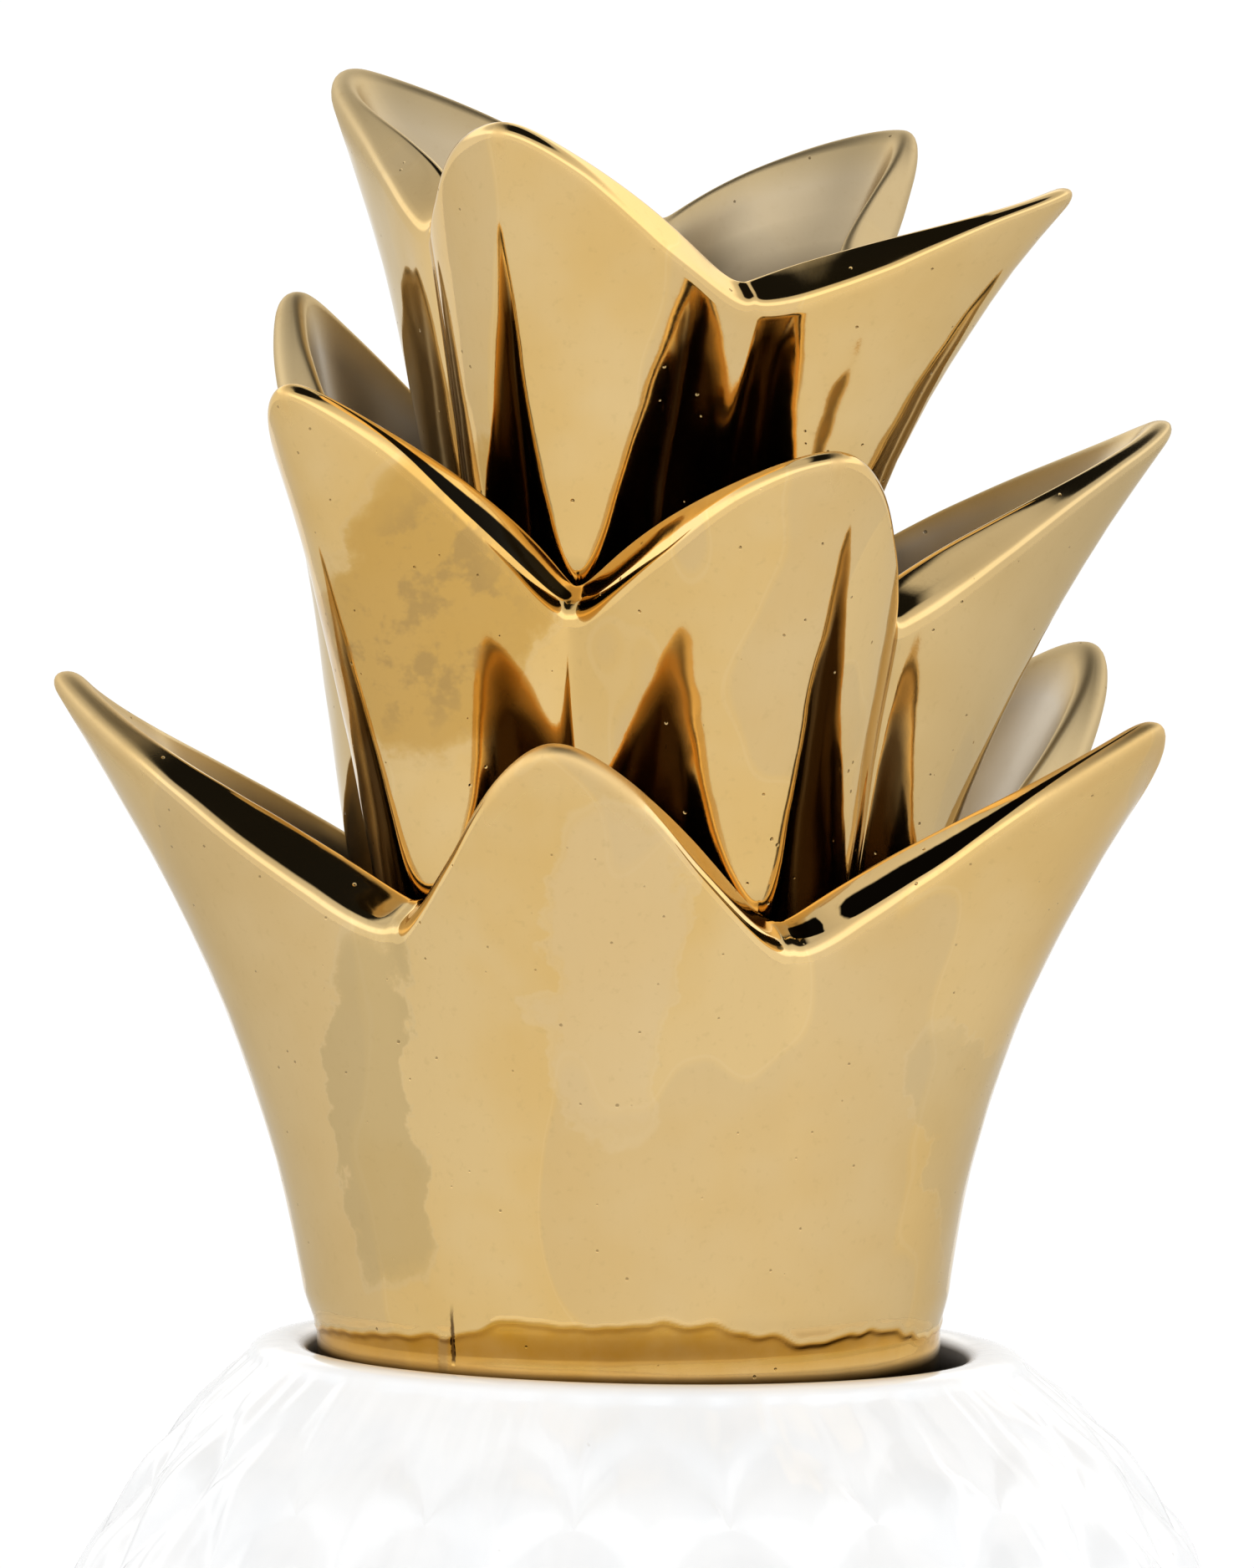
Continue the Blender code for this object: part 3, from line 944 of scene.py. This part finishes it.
def gold_lustre(settings):
    """Fired gold lustre over glaze: a warm mirror, with patches where it lies thin or rubbed, and
    with painted reflections and painted shade.
    """
    material, maker = new_material("gold_lustre")
    spot = maker.place()
    x, y, z = maker.parts(spot)
    front = maker.step(-1.0 * y, 0.004, 0.012)
    under_lip = maker.held(UNDER_LIP)
    drift = maker.noise(spot, DRIFT, 3.0, 0.55)
    rag = maker.noise(spot, RAG, 4.0, 0.6)
    grain = maker.noise(spot, LUSTRE_GRAIN, 3.0, 0.65)

    color = lustre_layers(maker, settings, spot, drift)
    # Painted shade: the lustre turns greyer towards the crown's sides, away from the front.
    facing = -1.0 * y / (x * x + y * y + 1e-6) ** 0.5
    side_shade = 1.0 - maker.step(facing + (drift - 0.5) * 0.5, -0.4, 0.85)
    color = maker.mix(side_shade * 0.75, color, rgb(*settings.side_shade_and_ridge))

    wx = x + (drift - 0.5) * 0.014 + (rag - 0.5) * 0.006
    wz = z + (drift - 0.5) * 0.010 + (rag - 0.5) * 0.006
    # The pale and darker patches on the lower ring are painted reflections.
    for place, size, amount, tint in PATCHES:
        far = patch(wx, wz, place, size)
        inside = (1.0 - maker.step(far, 0.86, 1.08)) * front
        color = maker.mix(inside * amount, color, rgb(*tint))
        line = (1.0 - maker.step(abs(far - 1.0), 0.01, 0.05)) * front
        color = maker.mix(line * 0.12, color, rgb(*settings.lustre_edge))
    rubbed = 0.0
    for place, size in RUBBED:
        far = patch(wx, wz, place, size)
        rubbed = rubbed + (1.0 - maker.step(far, 0.6, 1.2)) * front
    scratch = maker.step(rag, 0.50, 0.62) * rubbed
    color = maker.mix(scratch * 0.6, color, rgb(*settings.lustre_rubbed))

    color = maker.mix(maker.step(grain, 0.56, 0.74) * 0.12, color, rgb(*settings.lustre_rubbed))
    pits = maker.node("ShaderNodeTexVoronoi", {}, {"Vector": spot, "Scale": PITS})
    pits = 1.0 - maker.step(pits + (rag - 0.5) * 0.08, 0.035, 0.07)
    color = maker.mix(pits * 0.5, color, rgb(*PIT_COLOR))
    color = maker.mix(maker.held(PALE) * 0.8, color, rgb(*settings.lustre_silver))
    # Painted shade under the foot's lip: a deeper, darker gold with ragged edges.
    lip_shade = under_lip * (0.8 + (rag - 0.5) * 0.6)
    color = maker.mix(lip_shade, color, rgb(*settings.lustre_under_lip_shade))
    # Painted shade: the lustre is darkened inside the leaves, in the troughs, under the foot and on
    # the underside.
    lustre_shade = maker.held(PAINTED_SHADE) ** 0.7 * settings.lustre_shade
    color = maker.mix(lustre_shade, color, rgb(*PAINTED_SHADE_COLOR))
    # Painted dark reflection of the ceiling along the cut faces, with ragged ends.
    pooled = maker.step(maker.held(DARK_REFLECTION) + (rag - 0.5) * 0.25, 0.45, 0.6)
    color = maker.mix(pooled, color, rgb(*DARK_REFLECTION_COLOR))
    ridge, crack = seam_marks(maker, x, z, rag, front * under_lip)
    crack = crack * front
    color = maker.mix(ridge * 0.35, color, rgb(*settings.side_shade_and_ridge))
    color = maker.mix(crack * 0.85, color, rgb(*CRACK_COLOR))

    waves = maker.noise(spot, LUSTRE_WAVES, 2.0, 0.5)
    normal = maker.bump(waves, 0.3, 0.0009)
    normal = maker.bump(grain, 0.02, 0.0001, normal)
    normal = maker.bump(1.0 - pits, 0.4, 0.0002, normal)
    normal = maker.bump(ridge * 0.3 - crack, 0.6, 0.0003, normal)
    rough = settings.lustre_roughness + maker.step(grain, 0.5, 0.8) * 0.03
    rough = rough + pits * 0.2 + scratch * 0.12 + maker.held(SATIN) * 0.4
    sockets = {"Base Color": color, "Roughness": rough, "Metallic": 1.0, "Normal": normal}
    sockets["Specular Tint"] = rgb(*GLOSS_TINT)
    finish_surface(maker, sockets)
    return material


def white_glaze(settings):
    """Thick white glaze: bright and glassy, with painted shade in the grooves and in the mouth
    under the lid, bare on the foot ring.
    """
    material, maker = new_material("white_glaze")
    spot = maker.place()
    z = maker.parts(spot)[2]
    recess = maker.held(PAINTED_SHADE)
    pool = maker.noise(spot, POOL, 3.0, 0.55)
    grain = maker.noise(spot, GLAZE_GRAIN, 2.0, 0.5)
    thick = maker.step(pool, 0.4, 0.7)
    color = maker.mix(thick, rgb(*settings.glaze), rgb(*settings.glaze_cool))
    specks = maker.step(maker.noise(spot, SPECKS, 1.0, 0.5), 0.80, 0.83)
    color = maker.mix(specks * 0.5, color, rgb(*SPECK_COLOR))
    bare = 1.0 - maker.step(z + (pool - 0.5) * 0.0008, 0.0004, 0.0009)
    color = maker.mix(bare, color, rgb(*BARE_COLOR))
    # Painted shade: the glaze is greyed in the grooves between the scales.
    groove = maker.held(GROOVE) ** 3.0 * settings.groove
    color = maker.mix(groove, color, rgb(*GROOVE_SHADE_COLOR))
    color = maker.mix(recess, color, rgb(*SHADOW_COLOR))
    normal = maker.bump(pool, 0.30, 0.0006)
    normal = maker.bump(grain, 0.06, 0.0001, normal)
    rough = settings.glaze_roughness + bare * 0.6 + thick * 0.03 + recess * 0.5
    sockets = {"Base Color": color, "Roughness": rough, "Normal": normal}
    sockets["Coat Weight"] = (1.0 - recess) * GLAZE_COAT
    sockets["Coat Roughness"] = 0.03
    finish_surface(maker, sockets)
    return material


def color_property(name, description, default):
    return bpy.props.FloatVectorProperty(
        name=name, description=description, subtype="COLOR", default=default
    )


def share_property(name, description, default):
    return bpy.props.FloatProperty(
        name=name, description=description, subtype="FACTOR", default=default, min=0.0, max=1.0
    )


class JarBodySettings(bpy.types.PropertyGroup):
    relief: bpy.props.FloatProperty(
        name="Scale relief",
        description="How far the middle of a scale stands out of the jar, in millimetres",
        default=1.0,
        min=0.0,
        max=2.0,
    )
    lip: bpy.props.FloatProperty(
        name="Scale lip",
        description="How far the upper edge of a scale stands over the one behind, in millimetres",
        default=0.05,
        min=0.0,
        max=1.0,
    )
    waves: bpy.props.FloatProperty(
        name="Waves",
        description="How uneven the carved surface is under its glaze, in millimetres",
        default=0.32,
        min=0.0,
        max=0.5,
    )
    glaze: color_property("Glaze", "Colour of the glaze", (0.868, 0.872, 0.875))
    glaze_cool: color_property(
        "Pooled glaze", "Colour where the glaze lies thick", (0.83, 0.84, 0.85)
    )
    # Painted shade in the grooves between the scales.
    groove: share_property(
        "Groove shade", "How much greyer the glaze is in the grooves between the scales", 0.25
    )
    glaze_roughness: share_property("Glaze roughness", "How dull the glaze is", 0.12)


class CrownLidSettings(bpy.types.PropertyGroup):
    wobble: bpy.props.FloatProperty(
        name="Wobble",
        description="How uneven the cast walls of the leaves are, in millimetres",
        default=0.3,
        min=0.0,
        max=1.0,
    )
    lustre: color_property("Lustre", "Colour of the gold lustre", (0.765, 0.51, 0.19))
    lustre_pale: color_property(
        "Pale lustre", "Colour of the lustre where it lies thin and pale", (0.785, 0.56, 0.255)
    )
    lustre_thin: color_property(
        "Thin lustre", "Colour of the lustre where the glaze under it dulls it", (0.62, 0.46, 0.25)
    )
    # The side colour is painted shade on the crown's sides, and also the seam ridge's own tone.
    side_shade_and_ridge: color_property(
        "Side shade and seam ridge", "Colour of the painted shade at the crown's sides and of the seam ridge", (0.45, 0.36, 0.215)
    )
    lustre_edge: color_property(
        "Lustre edge",
        "Colour of the fine lines where two layers of lustre meet",
        (0.86, 0.70, 0.42),
    )
    lustre_rubbed: color_property(
        "Rubbed lustre",
        "Colour of the lustre where it is rubbed and scratched",
        (0.42, 0.27, 0.10),
    )
    lustre_roughness: share_property("Lustre roughness", "How dull the lustre is", 0.06)
    lustre_silver: color_property(
        "Silvery lustre", "Colour of the lustre on the inside of the leaves", (0.48, 0.44, 0.385)
    )
    # The deep colour is painted shade under the foot's lip.
    lustre_under_lip_shade: color_property(
        "Lustre shade under lip",
        "Colour of the lustre under the foot's lip, as painted shade",
        (0.54, 0.27, 0.02),
    )
    # This amount sets how dark the painted shade is inside the leaves, in the troughs, under the
    # foot and on the lid's underside.
    lustre_shade: share_property(
        "Lustre painted shade", "How dark the lustre is in the troughs between the rings of leaves", 0.95
    )


class StudioSettings(bpy.types.PropertyGroup):
    camera_azimuth: bpy.props.FloatProperty(
        name="Camera azimuth",
        description="Where the camera stands round the jar, counted from the front",
        subtype="ANGLE",
        default=0.0,
    )
    camera_elevation: bpy.props.FloatProperty(
        name="Camera elevation",
        description="How far the camera looks down on the jar",
        subtype="ANGLE",
        default=math.radians(5.6),
    )
    camera_distance: bpy.props.FloatProperty(
        name="Camera distance",
        description="How far the camera stands from the jar's axis",
        subtype="DISTANCE",
        default=4.0,
        min=0.5,
    )
    floor_radius: bpy.props.FloatProperty(
        name="Floor radius",
        description="Radius of the round floor",
        subtype="DISTANCE",
        default=1.0,
        min=0.2,
    )
    wall_light: bpy.props.FloatProperty(
        name="Wall light",
        description="Brightness of the white walls round the jar",
        default=1.95,
        min=0.0,
    )


class PINEAPPLE_OT_jar_body(bpy.types.Operator):
    """Model the white glazed jar body with its scales, foot and inside"""

    bl_idname = "pineapple.jar_body"
    bl_label = "Jar body"

    def execute(self, context):
        settings = context.scene.pineapple_jar_body
        field = ScaleField(settings.relief, settings.lip, settings.waves)
        columns = SCALES_ROUND * COLUMNS_PER_SCALE
        rows = len(jar_line(field, 0.0))

        def place(column):
            azimuth = SCALE_TURN + TURN * column / columns
            points = []
            for radius, z, groove in jar_line(field, azimuth):
                spot = point(azimuth, radius, tilted(azimuth, radius, z))
                points.append((spot, [mouth_shade(radius, z), groove]))
            return points

        body = skin("glazed_body", columns, rows, place, [PAINTED_SHADE, GROOVE])
        body.data.materials.append(white_glaze(settings))
        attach(body, "root")
        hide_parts("jar_body")
        return {"FINISHED"}


class PINEAPPLE_OT_crown_lid(bpy.types.Operator):
    """Model the gold crown: its foot and its three rings of leaves, cast as one"""

    bl_idname = "pineapple.crown_lid"
    bl_label = "Crown lid"

    def execute(self, context):
        settings = context.scene.pineapple_crown_lid
        tiers = [Tier(LOWER_TIER), Tier(MIDDLE_TIER), Tier(UPPER_TIER)]
        rows = len(crown_line(tiers, 0, settings.wobble))

        def place(column):
            return crown_line(tiers, column, settings.wobble)

        crown = skin("lustre_crown", LID_COLUMNS, rows, place, CROWN_MARKS + [UNDER_LIP])
        crown.data.materials.append(gold_lustre(settings))
        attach(crown, "root")
        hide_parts("crown_lid")
        return {"FINISHED"}


def add_floor(radius):
    """A round pale card under the jar."""
    bm = bmesh.new()
    bmesh.ops.create_circle(bm, cap_ends=True, segments=FLOOR_SIDES, radius=radius)
    mesh = bpy.data.meshes.new("floor")
    bm.to_mesh(mesh)
    bm.free()
    floor = bpy.data.objects.new("floor", mesh)
    bpy.context.scene.collection.objects.link(floor)
    material, maker = new_material("floor_card")
    grain = maker.noise(maker.place(), 40.0, 3.0, 0.5)
    color = maker.mix(grain, grey(0.90), grey(0.93))
    finish_surface(maker, {"Base Color": color, "Roughness": 0.7})
    floor.data.materials.append(material)


def add_world(walls):
    """White walls all round, brightest above the horizon, and a dark ceiling overhead that is lit
    on the left."""
    world = bpy.data.worlds.new("studio")
    bpy.context.scene.world = world
    world.use_nodes = True
    maker = Maker(world.node_tree)
    view = maker.node("ShaderNodeTexCoord")
    across, _, up = maker.parts(view)
    stops = [(0.5 + 0.5 * height, grey(light)) for height, light in STUDIO_LIGHT]
    color = maker.node("ShaderNodeValToRGB", {"stops": stops}, {0: up * 0.5 + 0.5})
    lit = (1.0 - maker.step(across, *LIT_ACROSS)) * maker.step(up, *LIT_UP)
    color = maker.mix(lit, color, grey(LIT_LIGHT))
    back = maker.node("ShaderNodeBackground", {}, {"Color": color, "Strength": walls})
    maker.node("ShaderNodeOutputWorld", {}, {"Surface": back})


def add_lamp():
    """A square panel high on the right, which the gloss doesn't mirror."""
    light = bpy.data.lights.new("top_lamp", "AREA")
    light.shape = "SQUARE"
    light.size = LAMP_SIZE
    light.energy = LAMP_WATTS
    lamp = bpy.data.objects.new("top_lamp", light)
    lamp.location = LAMP_PLACE
    lamp.rotation_euler = (LAMP_AIM - LAMP_PLACE).to_track_quat("-Z", "Y").to_euler()
    lamp.visible_camera = False
    lamp.visible_glossy = False
    bpy.context.scene.collection.objects.link(lamp)


def add_camera(azimuth, elevation, distance):
    """The photo's view, from the front and a little above."""
    camera = bpy.data.cameras.new("camera")
    camera.sensor_fit = "VERTICAL"
    camera.sensor_height = SENSOR
    camera.lens = SENSOR * distance / FRAME_HEIGHT
    camera.clip_end = 50.0
    item = bpy.data.objects.new("camera", camera)
    reach = distance * math.cos(elevation)
    high = distance * math.sin(elevation)
    away = Vector((reach * math.sin(azimuth), -reach * math.cos(azimuth), high))
    turn = (-away).to_track_quat("-Z", "Y").to_matrix().to_4x4()
    item.matrix_world = Matrix.Translation(AIM + away) @ turn
    bpy.context.scene.collection.objects.link(item)
    bpy.context.scene.camera = item


class PINEAPPLE_OT_studio(bpy.types.Operator):
    """Add the pale floor, the white studio with its dark ceiling, the lamp and the camera"""

    bl_idname = "pineapple.studio"
    bl_label = "Studio"

    def execute(self, context):
        settings = context.scene.pineapple_studio
        context.scene.view_settings.view_transform = "Standard"
        add_floor(settings.floor_radius)
        add_world(settings.wall_light)
        add_lamp()
        add_camera(settings.camera_azimuth, settings.camera_elevation, settings.camera_distance)
        return {"FINISHED"}


class PINEAPPLE_PT_panel(bpy.types.Panel):
    """Lists the jar's pieces and the studio"""

    bl_label = "Pineapple Jar"
    bl_idname = "PINEAPPLE_PT_panel"
    bl_space_type = "VIEW_3D"
    bl_region_type = "UI"
    bl_category = "Pineapple"

    def draw(self, context):
        for operator in OPERATORS:
            self.layout.operator(operator.bl_idname)
        for name, group in GROUPS.items():
            box = self.layout.box()
            for prop in group.__annotations__:
                box.prop(getattr(context.scene, name), prop)


GROUPS = {
    "pineapple_jar_body": JarBodySettings,
    "pineapple_crown_lid": CrownLidSettings,
    "pineapple_studio": StudioSettings,
}
OPERATORS = [PINEAPPLE_OT_jar_body, PINEAPPLE_OT_crown_lid, PINEAPPLE_OT_studio]


def register():
    for name, group in GROUPS.items():
        bpy.utils.register_class(group)
        setattr(bpy.types.Scene, name, bpy.props.PointerProperty(type=group))
    for operator in OPERATORS:
        bpy.utils.register_class(operator)
    bpy.utils.register_class(PINEAPPLE_PT_panel)


def unregister():
    bpy.utils.unregister_class(PINEAPPLE_PT_panel)
    for operator in reversed(OPERATORS):
        bpy.utils.unregister_class(operator)
    for name, group in GROUPS.items():
        delattr(bpy.types.Scene, name)
        bpy.utils.unregister_class(group)


def main():
    register()
    bpy.ops.pineapple.jar_body()
    bpy.ops.pineapple.crown_lid()
    bpy.ops.pineapple.studio()


if __name__ == "__main__":
    main()
